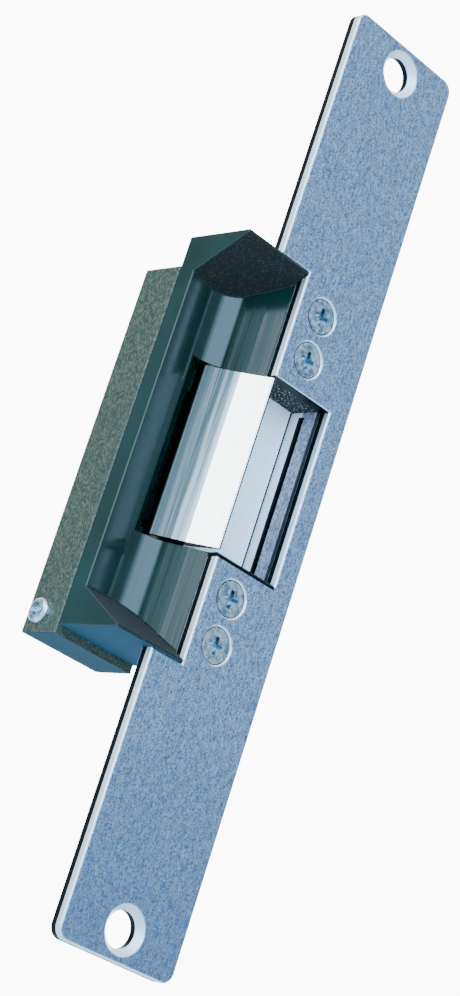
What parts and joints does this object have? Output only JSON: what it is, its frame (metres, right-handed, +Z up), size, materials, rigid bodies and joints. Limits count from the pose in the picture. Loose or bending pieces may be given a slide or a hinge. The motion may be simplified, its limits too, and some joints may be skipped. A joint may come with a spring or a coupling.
{
  "type": "electric door strike",
  "caption": "Slim face plate with a cast strike box, a spring-return keeper over the latch pocket and a solenoid case behind.",
  "frame": {"origin": "midway between the two jamb screw holes, on the plane where the plate seats against the jamb", "axes": "+X across the face plate, towards the latch pocket's closed side; +Y into the jamb; +Z up along the plate"},
  "size_m": [0.0481, 0.0315, 0.2286],
  "materials": {
    "satin_stainless": "satin brushed",
    "zinc_screws": "bright zinc",
    "black_casting": "gloss dark green-black",
    "polished_keeper": "polished",
    "bright_steel": "ground",
    "bronze": "sintered",
    "spring_steel": "drawn wire",
    "liner_steel": "bright",
    "case_grey": "matt grey-green",
    "plated_yoke": "yellow zinc",
    "bobbin_plastic": "moulded",
    "enamelled_copper": "enamelled wire",
    "coil_tape": "tape",
    "brass_rod": "turned",
    "lever_steel": "stamped",
    "terminal_green": "moulded",
    "diode_black": "moulded",
    "lead_red": "insulated wire",
    "grommet_rubber": "rubber"
  },
  "bodies": {
    "strike_case": {"face_plate": "satin_stainless", "face_plate_screws": "zinc_screws", "strike_body": "black_casting", "keeper_pin": "bright_steel", "thrust_washers": "bronze", "keeper_spring": "spring_steel", "pocket_liner": "liner_steel", "liner_screws": "zinc_screws", "rear_housing": "case_grey", "side_cover": "case_grey", "side_cover_screw": "zinc_screws", "housing_screws": "zinc_screws", "solenoid_frame": "plated_yoke", "coil_bobbin": "bobbin_plastic", "coil_winding": "enamelled_copper", "coil_wrap": "coil_tape", "pole_piece": "bright_steel", "plunger_spring": "spring_steel", "solenoid_screws": "zinc_screws", "lever_pivot_pin": "bright_steel", "lever_pin_clip": "spring_steel", "terminal_block": "terminal_green", "terminal_screws": "zinc_screws", "surge_diode": "diode_black", "coil_leads": "lead_red", "wire_grommet": "grommet_rubber"},
    "keeper": {"keeper": "polished_keeper", "keeper_bushes": "bronze"},
    "lever": {"locking_lever": "lever_steel"},
    "plunger": {"plunger": "bright_steel", "push_rod": "brass_rod", "push_rod_clip": "spring_steel"}
  },
  "joints": [
    {"name": "keeper_hinge", "type": "hinge", "parent": "strike_case", "child": "keeper", "pos_m": [-0.014, 0.0126, 0], "axis": [0, 0, -1], "range_deg": [0, 90], "stiffness_Nm_per_rad": 0.012, "springref_deg": -34.38},
    {"name": "plunger_slide", "type": "slide", "parent": "strike_case", "child": "plunger", "axis": [0, 0, 1], "range_m": [0, 0.003], "stiffness_N_per_m": 120, "springref_m": -0.002, "deforming": ["plunger_spring"]},
    {"name": "lever_hinge", "type": "hinge", "parent": "strike_case", "child": "lever", "pos_m": [-0.0252, 0.019, -0.0168], "axis": [0, -1, 0], "range_deg": [0, 18]}
  ],
  "couplings": [
    {"joint": "lever_hinge", "follows": "plunger_slide", "rad_per_m": 104.7}
  ]
}
